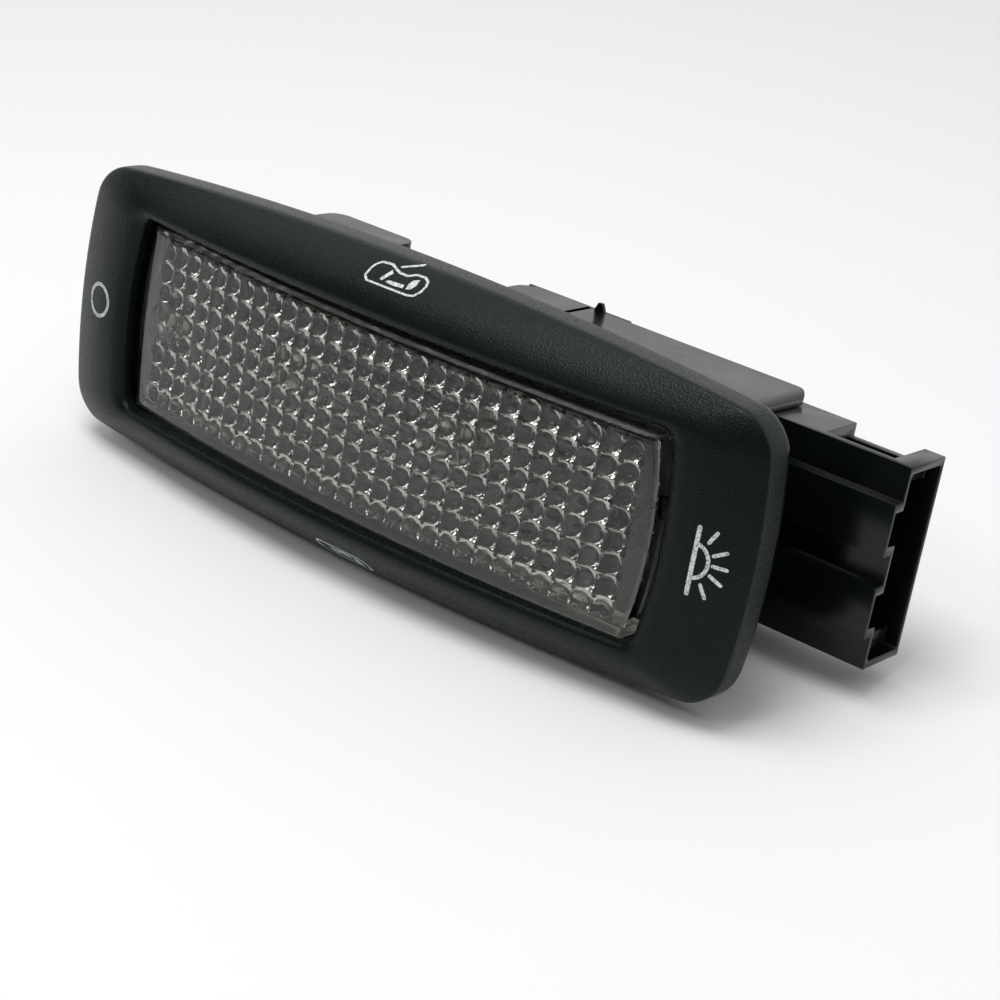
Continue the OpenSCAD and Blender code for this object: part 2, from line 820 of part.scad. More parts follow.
module switch_spring() {
    root_x = switch_root_x - leaf_t / 2 - touch_gap;
    path = [[root_x, riser_y - switch_inset], [root_x, spring_y + 2], [root_x - 1.5, spring_y],
            [post_x - 3.1, spring_y], [post_x - 4, spring_y + 0.6]];
    color("#cfc7a8")
        leaf(path, leaf_t, strip_w);
}

// Leaf at the right end, whose nose rests in the notches of the lens foot
module detent_spring() {
    root_x = cavity_l / 2 - clip_t / 2 - touch_gap;
    nose_x = foot_x + foot_t / 2 + 0.45 + clip_t / 2;
    nose_y = notch_y + swing;
    path = [[root_x, case_shallow - clip_inset], [root_x, nose_y + 4], [root_x - 0.5, nose_y + 2],
            [nose_x, nose_y], [root_x - 0.9, nose_y - 1.6]];
    color("#b4b4b0")
        leaf(path, clip_t, foot_w - 1);
}

// Steel clip on the left end wall, which grips the edge of the roof panel
module retaining_spring() {
    x = -case_x1 - clip_t / 2 - touch_gap;
    bends = concat([clip_knee], clip_nose, [clip_tip]);
    path = concat([[x, case_shallow - clip_inset], [x, clip_root_y]], [for (b = bends) [x - b[0], b[1]]]);
    color("#9c9d9b")
        leaf(path, clip_t, clip_w);
}

// Silver contact points of the switch
module contact_buttons() {
    color("#dcdcda") {
        button(post_x - 2, spring_y + leaf_t / 2, 0);
        button(ground_x + 2.2, ground_y - strip_t / 2 - button_t, 0);
        button(door_x + 2.4, door_y - strip_t / 2 - button_t, -blade_pitch);
    }
}

// Rivets that fix the two inner springs and the clip
module strip_rivets() {
    color("#a8a59b") {
        rivet(switch_root_x - leaf_t, riser_y - switch_inset - small_rivet_r - rivet_edge, small_rivet_r);
        rivet(cavity_l / 2 - clip_t, case_shallow - clip_inset - rivet_r - rivet_edge, rivet_r);
        rivet(-case_x1 - clip_t, case_shallow - clip_inset - clip_rivet_r - 2 * rivet_edge, clip_rivet_r);
    }
}

// Contact point on the depth axis, from its flat back
module button(x, y, z) {
    translate([x, y, z])
        rotate([-90, 0, 0])
            cylinder(r = button_r, h = button_t, $fn = 32);
}

// Rivet head on the left of a leaf whose left face is at x
module rivet(x, y, r) {
    translate([x - rivet_head_t - 2 * touch_gap, y, 0])
        rotate([0, 90, 0])
            cylinder(r = r, h = rivet_head_t, $fn = 32);
}

bezel();
rocker_lens();
rocker_contact();
housing();
rear_cover();
connector_socket();
reflector();
bulb_glass();
bulb_cap(-1);  // bulb_cap_left
bulb_cap(1);  // bulb_cap_right
bulb_filament();
supply_strip();
lamp_strip();
ground_strip();
door_strip();
switch_spring();
detent_spring();
retaining_spring();
contact_buttons();
strip_rivets();
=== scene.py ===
import math

import bpy
from mathutils import Matrix, Vector


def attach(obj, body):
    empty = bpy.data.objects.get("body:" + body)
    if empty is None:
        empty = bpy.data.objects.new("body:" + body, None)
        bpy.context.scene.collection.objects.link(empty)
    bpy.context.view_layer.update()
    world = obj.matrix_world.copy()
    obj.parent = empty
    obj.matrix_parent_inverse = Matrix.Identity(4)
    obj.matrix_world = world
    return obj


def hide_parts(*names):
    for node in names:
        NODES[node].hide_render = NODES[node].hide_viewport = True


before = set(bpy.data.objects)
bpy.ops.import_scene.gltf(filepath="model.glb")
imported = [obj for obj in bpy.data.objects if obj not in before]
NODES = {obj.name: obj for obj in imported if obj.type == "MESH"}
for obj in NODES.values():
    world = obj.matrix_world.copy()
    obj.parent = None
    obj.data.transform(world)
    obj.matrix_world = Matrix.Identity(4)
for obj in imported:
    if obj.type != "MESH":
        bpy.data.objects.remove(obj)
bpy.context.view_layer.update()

bl_info = {
    "name": "Car dome light looks",
    "version": (1, 0, 0),
    "blender": (4, 5, 0),
    "location": "View3D > Sidebar > Dome Light",
    "description": "Finishes, beaded lens, marks and stage of a rocker-lens interior light",
    "category": "Object",
}

MM = 0.001

# Sizes that the solids have too, in millimetres. Heights count from the flange's back face.
LENS_L = 112.0
LENS_H = 33.4
LENS_END_SAG = 2.0
LENS_CROWN = 4.4
LENS_FACE_H = 13.8
LENS_T = 2.4
LENS_SKIRT_T = 1.6
LENS_BACK_H = 2.73
LENS_SHIFT = 0.6
LENS_TILT = 1.2
RIM_EDGE_H = 5.88
PIVOT_H = 4.2
PIVOT_R = 1.5
TRUNNION_END = 18.9
POST_X = -50.8
POST_R = 3.8
POST_WALL = 1.0
POST_END_Y = 1.14
FOOT_X = 52.0
FOOT_T = 3.0
FOOT_W = 7.0
FOOT_END_Y = 4.5
NOTCH_R = 0.75
NOTCH_Y = 2.6
NOTCH_STEP = 1.064

# Circles of the bowed lens face and of the lens's ends
FACE_R = (LENS_L**2 / 4 + LENS_CROWN**2) / (2 * LENS_CROWN)
END_R = (LENS_H**2 / 4 + LENS_END_SAG**2) / (2 * LENS_END_SAG)
END_CENTRE = LENS_L / 2 + LENS_END_SAG - END_R

# Lens plastic: depth of its smoke, the strip along each long side over which it turns from clear
# to frosted, and the length along the light over which the waviness of its beads dies out
SMOKE_DENSITY = 250.0
FROST_START, FROST_END = 0.7, 0.2
CLEAR, FROSTED = 0.015, 0.5
FIELD_END, FLAT_START = 51.5, 53.5

# From here out on both sides the reflector's colour turns near black over this length, as painted
# shade at the lens's ends
PAINTED_SHADE_START = 43.0
PAINTED_SHADE_FADE = 4.0

# Numbers of a colour mix's two inputs and of its result
MIX_A, MIX_B, MIX_RESULT = 6, 7, 2


# ---------------------------------------------------------------- properties


class DomeLightColours(bpy.types.PropertyGroup):
    bezel: bpy.props.FloatVectorProperty(
        name="Bezel",
        description="Colour of the grained bezel",
        subtype="COLOR",
        min=0,
        max=1,
        default=(0.0045, 0.0078, 0.0070),
    )
    case: bpy.props.FloatVectorProperty(
        name="Case",
        description="Colour of the glossy case, cover and connector",
        subtype="COLOR",
        min=0,
        max=1,
        default=(0.0022, 0.0032, 0.0032),
    )
    smoke: bpy.props.FloatVectorProperty(
        name="Smoked lens",
        description="Tint of the lens plastic",
        subtype="COLOR",
        min=0,
        max=1,
        default=(0.6, 0.61, 0.565),
    )
    reflector: bpy.props.FloatVectorProperty(
        name="Reflector",
        description="Colour of the metallised reflector",
        subtype="COLOR",
        min=0,
        max=1,
        default=(0.125, 0.13, 0.127),
    )
    brass: bpy.props.FloatVectorProperty(
        name="Brass",
        description="Colour of the contact strips",
        subtype="COLOR",
        min=0,
        max=1,
        default=(0.96, 0.9, 0.7),
    )
    marks: bpy.props.FloatVectorProperty(
        name="Printed marks",
        description="Colour of the printed marks",
        subtype="COLOR",
        min=0,
        max=1,
        default=(0.66, 0.7, 0.71),
    )


class DomeLightLens(bpy.types.PropertyGroup):
    columns: bpy.props.IntProperty(
        name="Bead columns", description="Beads along the lens", default=29, min=8, max=40
    )
    rows: bpy.props.IntProperty(
        name="Bead rows", description="Beads across the lens", default=8, min=3, max=12
    )
    pitch_x: bpy.props.FloatProperty(
        name="Column pitch",
        description="Bead pitch along the lens",
        unit="LENGTH",
        default=3.7 * MM,
    )
    pitch_z: bpy.props.FloatProperty(
        name="Row pitch",
        description="Bead pitch across the lens",
        unit="LENGTH",
        default=3.75 * MM,
    )
    bead_r: bpy.props.FloatProperty(
        name="Bead radius",
        description="Radius of a bead's foot",
        unit="LENGTH",
        default=1.72 * MM,
    )
    bead_h: bpy.props.FloatProperty(
        name="Bead height", description="Rise of a bead", unit="LENGTH", default=0.8 * MM
    )


class DomeLightStage(bpy.types.PropertyGroup):
    lean: bpy.props.FloatProperty(
        name="Lean",
        description="Lean of the light on the floor",
        subtype="ANGLE",
        default=math.radians(13.05),
    )
    floor: bpy.props.FloatVectorProperty(
        name="Floor",
        description="Colour of the floor",
        subtype="COLOR",
        min=0,
        max=1,
        default=(0.88, 0.885, 0.88),
    )
    key_power: bpy.props.FloatProperty(
        name="Key lamp", description="Power of the lamp above, in front", unit="POWER", default=2.2
    )
    window_power: bpy.props.FloatProperty(
        name="Window lamp",
        description="Power of the small lamp in front",
        unit="POWER",
        default=0.45,
    )
    world: bpy.props.FloatProperty(
        name="Surroundings", description="Strength of the light from all round", default=0.5
    )


# ------------------------------------------------------------------- helpers


def only(*objects):
    """Selects these objects and nothing else, with the first one active."""
    if bpy.context.object and bpy.context.object.mode != "OBJECT":
        bpy.ops.object.mode_set(mode="OBJECT")
    bpy.ops.object.select_all(action="DESELECT")
    for o in objects:
        o.select_set(True)
    bpy.context.view_layer.objects.active = objects[0]


def edit(obj):
    """Opens a mesh in edit mode with all of it selected."""
    only(obj)
    bpy.ops.object.mode_set(mode="EDIT")
    bpy.ops.mesh.select_all(action="SELECT")


def leave_edit():
    """Closes edit mode."""
    bpy.ops.object.mode_set(mode="OBJECT")


def apply_modifier(obj, kind, **settings):
    """Adds one modifier with these settings and applies it."""
    only(obj)
    modifier = obj.modifiers.new(kind.title(), kind)
    for key, value in settings.items():
        setattr(modifier, key, value)
    bpy.ops.object.modifier_apply(modifier=modifier.name)


def joined(name, pieces):
    """Joins pieces into one object of that name, at the origin."""
    only(*pieces)
    if len(pieces) > 1:
        bpy.ops.object.join()
    piece = bpy.context.object
    piece.name = piece.data.name = name
    bpy.ops.object.transform_apply(location=True, rotation=True, scale=True)
    return piece


def merged_copy(node, name):
    """Copy of a CAD node whose loose triangles are joined into whole faces."""
    piece = bpy.data.objects.new(name, NODES[node].data.copy())
    bpy.context.scene.collection.objects.link(piece)
    piece.data.name = name
    only(piece)
    bpy.ops.mesh.customdata_custom_splitnormals_clear()
    edit(piece)
    bpy.ops.mesh.remove_doubles(threshold=0.002 * MM)
    leave_edit()
    return piece


def dress(piece, material, body, *replaced, slot=None):
    """Gives a new piece its material and its body, and hides the nodes that it stands for."""
    piece.data.materials.clear()
    piece.data.materials.append(material)
    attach(piece, body)
    if replaced:
        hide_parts(*replaced)


def paint(node, material):
    """Gives a CAD node its finish."""
    NODES[node].data.materials.clear()
    NODES[node].data.materials.append(material)


# ----------------------------------------------------------------- materials


class Nodes:
    """A node tree under construction: its nodes are added by type and linked by name."""

    def __init__(self, owner):
        owner.use_nodes = True
        self.tree = owner.node_tree
        self.tree.nodes.clear()

    def add(self, kind, **settings):
        """Adds a node. Each setting is one of its sockets, or else one of its properties."""
        node = self.tree.nodes.new(kind)
        for key, value in settings.items():
            if key in node.inputs:
                node.inputs[key].default_value = value
            else:
                setattr(node, key, value)
        return node

    def link(self, source, out, target, socket):
        """Links an output to a socket, each given by name or by number."""
        self.tree.links.new(source.outputs[out], target.inputs[socket])

    def ramp(self, source, out, low, high, start=0.0, end=1.0, **settings):
        """Maps an output that goes from start to end to values from low to high."""
        node = self.add("ShaderNodeMapRange", **settings)
        node.inputs["From Min"].default_value = start
        node.inputs["From Max"].default_value = end
        node.inputs["To Min"].default_value = low
        node.inputs["To Max"].default_value = high
        self.link(source, out, node, "Value")
        return node


class Finish(Nodes):
    """A material under construction, with its patterns on Object coordinates."""

    def __init__(self, name):
        self.material = bpy.data.materials.get(name) or bpy.data.materials.new(name)
        super().__init__(self.material)
        self.output = self.add("ShaderNodeOutputMaterial")
        self.surface = self.add("ShaderNodeBsdfPrincipled")
        self.link(self.surface, "BSDF", self.output, "Surface")
        self.place = self.add("ShaderNodeTexCoord")

    def set(self, **values):
        """Sets constants on the shader's own sockets."""
        for key, value in values.items():
            self.surface.inputs[key.replace("_", " ")].default_value = value

    def texture(self, kind, stretch=(1, 1, 1), **settings):
        """A texture on Object coordinates, stretched along the axes."""
        mapping = self.add("ShaderNodeMapping")
        mapping.inputs["Scale"].default_value = stretch
        self.link(self.place, "Object", mapping, "Vector")
        node = self.add(kind, **settings)
        self.link(mapping, "Vector", node, "Vector")
        return node

    def off_middle(self, axis):
        """Distance from the middle of the light along one axis."""
        place = self.add("ShaderNodeSeparateXYZ")
        self.link(self.place, "Object", place, "Vector")
        distance = self.add("ShaderNodeMath", operation="ABSOLUTE")
        self.link(place, axis, distance, 0)
        return distance

    def tint(self, source, out, dark, light):
        """Colour between two colours, driven by a value."""
        node = self.add("ShaderNodeMix", data_type="RGBA")
        node.inputs[MIX_A].default_value = (*dark, 1)
        node.inputs[MIX_B].default_value = (*light, 1)
        self.link(source, out, node, "Factor")
        self.link(node, MIX_RESULT, self.surface, "Base Color")
        return node

    def roughness(self, source, out, low, high, start=0.3, end=0.7):
        """Roughness from low to high, driven by a value."""
        ramp = self.ramp(source, out, low, high, start, end)
        self.link(ramp, "Result", self.surface, "Roughness")

    def bump(self, source, out, strength, distance, below=None):
        """Relief of this depth, on top of the bump below."""
        node = self.add("ShaderNodeBump")
        node.inputs["Strength"].default_value = strength
        node.inputs["Distance"].default_value = distance
        self.link(source, out, node, "Height")
        if below:
            self.link(below, "Normal", node, "Normal")
        self.link(node, "Normal", self.surface, "Normal")
        return node

    def lets_lamps_through(self, colour):
        """Rays from lamps pass this surface with a tint, so that what lies behind it is lit."""
        clear = self.add("ShaderNodeBsdfTransparent", Color=(*colour, 1))
        path = self.add("ShaderNodeLightPath")
        mix = self.add("ShaderNodeMixShader")
        self.link(path, "Is Shadow Ray", mix, "Fac")
        self.link(self.surface, "BSDF", mix, 1)
        self.link(clear, "BSDF", mix, 2)
        self.link(mix, "Shader", self.output, "Surface")


def shade(colour, factor):
    """Darker or lighter version of a colour."""
    return tuple(min(1.0, c * factor) for c in colour)


def grained_plastic(colour):
    """Satin black moulding with a fine leather grain."""
    f = Finish("bezel_grained_plastic")
    cells = f.texture(
        "ShaderNodeTexVoronoi", feature="SMOOTH_F1", Scale=3500.0, Smoothness=0.1, Randomness=1.0
    )
    pores = f.texture("ShaderNodeTexNoise", Scale=4200.0, Detail=1.0, Roughness=0.6)
    cloud = f.texture("ShaderNodeTexNoise", Scale=60.0, Detail=4.0, Roughness=0.55)
    f.tint(cloud, "Fac", shade(colour, 0.8), shade(colour, 1.25))
    f.roughness(pores, "Fac", low=0.16, high=0.42, start=0.38, end=0.62)
    grain = f.bump(cells, "Distance", strength=1.0, distance=0.05 * MM)
    f.bump(pores, "Fac", strength=0.8, distance=0.03 * MM, below=grain)
    f.set(Specular_IOR_Level=0.16, Specular_Tint=(0.9, 1.0, 0.98, 1))
    return f.material


def moulded_plastic(colour):
    """Smooth black moulding with faint scratches and handling marks."""
    f = Finish("case_moulded_plastic")
    haze = f.texture("ShaderNodeTexNoise", Scale=90.0, Detail=5.0, Roughness=0.6)
    scratches = f.texture(
        "ShaderNodeTexNoise", (0.25, 1.6, 6.0), Scale=420.0, Detail=2.0, Roughness=0.5
    )
    f.tint(haze, "Fac", shade(colour, 0.7), shade(colour, 1.5))
    f.roughness(haze, "Fac", low=0.19, high=0.27, start=0.35)
    f.bump(scratches, "Fac", strength=0.06, distance=0.04 * MM)
    f.set(Specular_IOR_Level=0.3, Specular_Tint=(0.92, 1.0, 0.98, 1))
    return f.material


def smoked_plastic(colour):
    """Clear smoked lens plastic, slightly wavy over its beads and frosted on its long sides."""
    f = Finish("lens_smoked_plastic")
    f.set(Base_Color=(0.98, 0.98, 0.975, 1), IOR=1.49, Transmission_Weight=1.0)
    f.set(Specular_IOR_Level=0.24)
    f.lets_lamps_through((0.95, 0.95, 0.94))
    frost_start, frost_end = ((LENS_H / 2 - strip) * MM for strip in (FROST_START, FROST_END))
    f.roughness(f.off_middle("Z"), "Value", CLEAR, FROSTED, frost_start, frost_end)
    waves = f.texture("ShaderNodeTexNoise", Scale=560.0, Detail=1.5, Roughness=0.55)
    field = f.ramp(f.off_middle("X"), "Value", 1.0, 0.0, FIELD_END * MM, FLAT_START * MM)
    uneven = f.add("ShaderNodeMath", operation="MULTIPLY")
    f.link(waves, "Fac", uneven, 0)
    f.link(field, "Result", uneven, 1)
    f.bump(uneven, "Value", strength=1.0, distance=0.15 * MM)
    smoke = f.add("ShaderNodeVolumeAbsorption", Color=(*colour, 1), Density=SMOKE_DENSITY)
    f.link(smoke, "Volume", f.output, "Volume")
    return f.material


def clear_glass():
    """Clear glass of the bulb."""
    f = Finish("bulb_clear_glass")
    f.set(Base_Color=(0.97, 0.98, 0.98, 1), Roughness=0.0, IOR=1.47, Transmission_Weight=1.0)
    f.lets_lamps_through((0.96, 0.97, 0.97))
    return f.material


def metallised_plastic(colour):
    """Grey reflector with an uneven metallised skin, whose colour turns near black towards both
    ends as painted shade.
    """
    f = Finish("reflector_metallised")
    skin = f.texture("ShaderNodeTexNoise", Scale=140.0, Detail=4.0, Roughness=0.6)
    ripple = f.texture("ShaderNodeTexNoise", (1.0, 1.0, 3.0), Scale=300.0, Detail=2.0)
    even = f.tint(skin, "Fac", shade(colour, 0.8), shade(colour, 1.15))
    # Painted shade: the colour turns near black towards both ends of the reflector
    reach = (PAINTED_SHADE_START * MM, (PAINTED_SHADE_START + PAINTED_SHADE_FADE) * MM)
    painted_shade = f.ramp(f.off_middle("X"), "Value", 0.0, 1.0, *reach)
    ends = f.add("ShaderNodeMix", data_type="RGBA")
    ends.inputs[MIX_B].default_value = (0.02, 0.02, 0.018, 1)
    f.link(painted_shade, "Result", ends, "Factor")
    f.link(even, MIX_RESULT, ends, MIX_A)
    f.link(ends, MIX_RESULT, f.surface, "Base Color")
    f.roughness(skin, "Fac", low=0.34, high=0.5)
    f.bump(ripple, "Fac", strength=0.15, distance=0.08 * MM)
    f.set(Metallic=0.35)
    return f.material


def metal(name, colour, low, high, metallic=1.0, dent=0.03):
    """Stamped sheet or turned metal, with a tarnish that comes and goes and a drawn grain whose
    depth in millimetres is the dent."""
    f = Finish(name)
    tarnish = f.texture("ShaderNodeTexNoise", Scale=260.0, Detail=4.0, Roughness=0.6)
    grain = f.texture("ShaderNodeTexNoise", (0.3, 1.0, 9.0), Scale=900.0, Detail=2.0)
    f.tint(tarnish, "Fac", shade(colour, 0.72), shade(colour, 1.12))
    f.roughness(tarnish, "Fac", low, high)
    f.bump(grain, "Fac", strength=0.12, distance=dent * MM)
    f.set(Metallic=metallic)
    return f.material


def print_ink(colour):
    """Pad-printed ink, thin enough to show the grain's breaks."""
    f = Finish("printed_mark_ink")
    breaks = f.texture("ShaderNodeTexNoise", Scale=3200.0, Detail=2.0, Roughness=0.7)
    worn = f.ramp(breaks, "Fac", low=0.0, high=1.0, start=0.36, end=0.56)
    f.tint(worn, "Result", shade(colour, 0.42), shade(colour, 1.15))
    f.bump(breaks, "Fac", strength=0.3, distance=0.04 * MM)
    f.set(Roughness=0.6)
    return f.material


# -------------------------------------------------------------------- bezel


# Share of their sharpness that the bezel's edges and its front rim keep when it is smoothed
EDGE_CREASE = 0.8
RIM_CREASE = 0.9
# A point this near the rim's height, in millimetres, lies on the rim
SAME_HEIGHT = 0.02


class DOME_OT_bezel(bpy.types.Operator):
    """Bezel with its crown smoothed and its grain, from the solid's own faces"""

    bl_idname = "dome.bezel"
    bl_label = "Bezel"

    def execute(self, context):
        piece = merged_copy("bezel", "bezel_shell")
        edit(piece)
        bpy.ops.mesh.tris_convert_to_quads(
            face_threshold=math.radians(40), shape_threshold=math.radians(60)
        )
        bpy.ops.mesh.select_all(action="DESELECT")
        bpy.ops.mesh.select_mode(type="EDGE")
        bpy.ops.mesh.edges_select_sharp(sharpness=math.radians(50))
        bpy.ops.transform.edge_crease(value=EDGE_CREASE)
        bpy.ops.mesh.select_all(action="DESELECT")
        leave_edit()
        off_rim = [abs(v.co.y + RIM_EDGE_H * MM) for v in piece.data.vertices]
        for edge in piece.data.edges:
            edge.select = all(off_rim[i] < SAME_HEIGHT * MM for i in edge.vertices)
        bpy.ops.object.mode_set(mode="EDIT")
        bpy.ops.transform.edge_crease(value=RIM_CREASE)
        leave_edit()
        apply_modifier(piece, "SUBSURF", levels=2, render_levels=2)
        bpy.ops.object.shade_smooth_by_angle(angle=math.radians(40))
        plastic = grained_plastic(context.scene.dome_colours.bezel)
        dress(piece, plastic, "case", "bezel", slot="bezel_plastic")
        return {"FINISHED"}


# -------------------------------------------------------------- printed marks


# How a drawn mark lies on the bezel, in millimetres: height of its lower edge, rise for each
# drawn millimetre, and shift along the light
LEVEL = (0, 1, 0)
UPPER_RAIL = (23.15, 0.61, 0)
LOWER_RAIL = (-23.15, -0.61, -1.9)

# The marks stand in a plane in front of the bezel, are drawn on to it, and end this far above it
DRAWING_Y = -20
MARK_LIFT = 0.035

# Length of a stroke's faces, and the least length of a stroke
STROKE_STEP = 0.3
STROKE_LEAST = 0.05


def bar(start, end, width, flatten):
    """Straight stroke between two points of a mark, as a thin plate in front of the bezel."""
    a, b = Vector(start), Vector(end)
    length = max((b - a).length, STROKE_LEAST)
    steps = max(1, round(length / STROKE_STEP))
    bpy.ops.mesh.primitive_grid_add(
        x_subdivisions=steps, y_subdivisions=2, size=1, location=(0, 0, 0)
    )
    stroke = bpy.context.object
    turn = Matrix.Rotation(math.atan2(b.y - a.y, b.x - a.x), 4, "Z")
    stroke.data.transform(Matrix.Diagonal((length, width, 1, 1)))
    stroke.data.transform(turn)
    stroke.data.transform(Matrix.Translation(((a.x + b.x) / 2, (a.y + b.y) / 2, 0)))
    stand(stroke, flatten)
    return stroke


def dot(centre, radius, flatten):
    """Round end or corner of a stroke."""
    bpy.ops.mesh.primitive_circle_add(
        vertices=20, radius=radius, fill_type="TRIFAN", location=(0, 0, 0)
    )
    disc = bpy.context.object
    disc.data.transform(Matrix.Translation((centre[0], centre[1], 0)))
    stand(disc, flatten)
    return disc


def stand(flat, flatten):
    """Turns a drawn shape from its drawing plane to the plane in front of the bezel."""
    low, rise, shift = flatten
    for v in flat.data.vertices:
        x, up = v.co.x, v.co.y
        v.co = ((x + shift) * MM, DRAWING_Y * MM, (low + rise * up) * MM)


def patch(points, flatten):
    """Filled shape with these corners."""
    bpy.ops.mesh.primitive_circle_add(
        vertices=len(points), radius=1, fill_type="TRIFAN", location=(0, 0, 0)
    )
    shape = bpy.context.object
    middle = [sum(p[k] for p in points) / len(points) for k in (0, 1)]
    for v, p in zip(shape.data.vertices, points + [middle]):
        v.co = (p[0], p[1], 0)
    edit(shape)
    bpy.ops.mesh.subdivide(number_cuts=3)
    leave_edit()
    stand(shape, flatten)
    return shape


def line(points, width, flatten, closed=False):
    """Stroke along several points, with round corners and ends."""
    ends = points + points[:1] if closed else points
    pieces = [bar(p, q, width, flatten) for p, q in zip(ends, ends[1:])]
    return pieces + [dot(p, width / 2, flatten) for p in points]


CAR_BODY = [
    (-3.86, 0.9), (-3.9, 2.7), (-3.6, 3.7), (-2.9, 4.4), (-0.9, 4.6), (0.5, 4.0), (1.6, 3.6),
    (3.3, 3.6), (4.5, 4.4), (6.3, 4.45), (7.3, 3.85), (7.65, 2.9), (7.55, 1.6), (6.9, 0.4),
    (5.8, 0.05), (-3.0, 0.0),
]
CAR_GLASS = [
    [(-0.95, 1.2), (-0.35, 1.0), (0.6, 3.05), (-0.1, 3.65), (-0.55, 2.4)],
    [(0.35, 0.95), (0.75, 1.55), (4.0, 1.75), (4.15, 1.05), (2.2, 0.8)],
    [(4.75, 1.1), (5.55, 1.3), (6.0, 2.4), (5.8, 3.75), (4.75, 3.1), (4.55, 2.1)],
]
CAR_DOOR = [(0.9, 4.75), (3.9, 6.4)]
BODY_STROKE, DOOR_STROKE = 0.44, 0.42

# The ring mark: its centre, radius, stroke and number of strokes
RING_CENTRE, RING_R, RING_STROKE, RING_TURNS = (-67.1, -0.4), 2.9, 0.7, 40

# The lamp mark: its middle, half its plate, its bow, and each ray's angle, inner end and length
LAMP_X, LAMP_Z = 66.0, -0.05
PLATE_REACH, PLATE_STROKE = 5.35, 0.75
BOW_OUT, BOW_UP, BOW_STROKE, BOW_TURNS = 2.35, 2.75, 0.62, 12
RAYS = ((62, 3.9), (29, 3.35), (0, 3.1), (-29, 3.35), (-62, 3.9))
RAY_L, RAY_STROKE = 2.05, 0.6


def car_mark(flatten):
    """Car seen from above with one door open."""
    strokes = line(CAR_BODY, BODY_STROKE, flatten, closed=True)
    strokes += [patch(points, flatten) for points in CAR_GLASS]
    return strokes + line(CAR_DOOR, DOOR_STROKE, flatten)


def ring_mark():
    """Ring for off."""
    turns = [2 * math.pi * k / RING_TURNS for k in range(RING_TURNS)]
    x, z = RING_CENTRE
    points = [(x + RING_R * math.cos(t), z + RING_R * math.sin(t)) for t in turns]
    return line(points, RING_STROKE, LEVEL, closed=True)


def lamp_mark():
    """Ceiling lamp with five rays, for on."""
    turns = [math.pi * (k / BOW_TURNS - 0.5) for k in range(BOW_TURNS + 1)]
    bow = [(LAMP_X + BOW_OUT * math.cos(t), LAMP_Z + BOW_UP * math.sin(t)) for t in turns]
    plate = [(LAMP_X, LAMP_Z + PLATE_REACH), (LAMP_X, LAMP_Z - PLATE_REACH)]
    strokes = line(plate, PLATE_STROKE, LEVEL) + line(bow, BOW_STROKE, LEVEL)
    for angle, inner in RAYS:
        t = math.radians(angle)
        ray = [
            (LAMP_X + reach * math.cos(t), LAMP_Z + reach * math.sin(t))
            for reach in (inner, inner + RAY_L)
        ]
        strokes += line(ray, RAY_STROKE, LEVEL)
    return strokes


class DOME_OT_marks(bpy.types.Operator):
    """White marks on the bezel: ring, car with an open door on both rails, lamp with rays"""

    bl_idname = "dome.marks"
    bl_label = "Printed marks"

    def execute(self, context):
        ink = print_ink(context.scene.dome_colours.marks)
        marks = {
            "mark_off_ring": ring_mark(),
            "mark_on_lamp": lamp_mark(),
            "mark_door_upper": car_mark(UPPER_RAIL),
            "mark_door_lower": car_mark(LOWER_RAIL),
        }
        for name, strokes in marks.items():
            piece = joined(name, strokes)
            apply_modifier(
                piece,
                "SHRINKWRAP",
                target=bpy.data.objects["bezel_shell"],
                wrap_method="PROJECT",
                wrap_mode="ABOVE_SURFACE",
                use_project_y=True,
                use_positive_direction=True,
                use_negative_direction=False,
                offset=MARK_LIFT * MM,
            )
            faces_inwards = piece.data.polygons[0].normal.y > 0
            if faces_inwards:
                edit(piece)
                bpy.ops.mesh.flip_normals()
                leave_edit()
            dress(piece, ink, "case")
        return {"FINISHED"}


# --------------------------------------------------------------------- case


# Solid, the piece that stands for it, and the width of its rounded edges
CASE_PARTS = (
    ("housing", "housing_shell", 0.22),
    ("rear_cover", "rear_cover_plate", 0.15),
    ("connector_socket", "connector_shell", 0.2),
)


class DOME_OT_case(bpy.types.Operator):
    """Housing, rear cover and connector shell with their moulded edges rounded"""

    bl_idname = "dome.case"
    bl_label = "Case and connector"

    def execute(self, context):
        plastic = moulded_plastic(context.scene.dome_colours.case)
        for node, name, width in CASE_PARTS:
            piece = merged_copy(node, name)
            edit(piece)
            bpy.ops.mesh.dissolve_limited(angle_limit=math.radians(0.3))
            leave_edit()
            apply_modifier(
                piece,
                "BEVEL",
                width=width * MM,
                segments=2,
                limit_method="ANGLE",
                angle_limit=math.radians(40),
                use_clamp_overlap=True,
            )
            bpy.ops.object.shade_smooth_by_angle(angle=math.radians(35))
            dress(piece, plastic, "case", node, slot="case_plastic")
        return {"FINISHED"}


# --------------------------------------------------------------------- lens

# Inset and depth of each ring round the lens: edge of the face, its rounding twice, outer rim,
# inner rim, and edge of the beaded inside. A depth of None is the flat rim.
LENS_RINGS = [
    (0.8, 0.0),
    (0.23, 0.23),
    (0.0, 0.8),
    (0.0, None),
    (LENS_SKIRT_T, None),
    (LENS_SKIRT_T, LENS_T),
]

# Faces across a bead's cell, and the drop of the grooves between cells
BEAD_STEPS = 10
BEAD_GROOVE = 0.12
# Share of its ball's radius that a bead may reach to, so that the cap stays a cap
BALL_REACH = 0.985
# Beads differ a little. The scatter gives each a number from -1 to 1, which changes its radius by
# this share and its place across the lens by this many millimetres.
BEAD_SCATTER = (12.9898, 78.233)
UNEVEN_R = 0.025
UNEVEN_Z = 0.04

# Thickness of the post's closed end, how far the foot is sunk into the lens, how far the centres
# of its notches stand out, and the width of the fittings' rounded edges
POST_FLOOR = 2.5
FOOT_SINK = 0.45
NOTCH_OUT = 0.4
FITTING_EDGE = 0.12


def lens_half_l(z, inset):
    """Half length of the lens, which bulges at its ends."""
    return END_CENTRE + math.sqrt((END_R - inset) ** 2 - z * z)


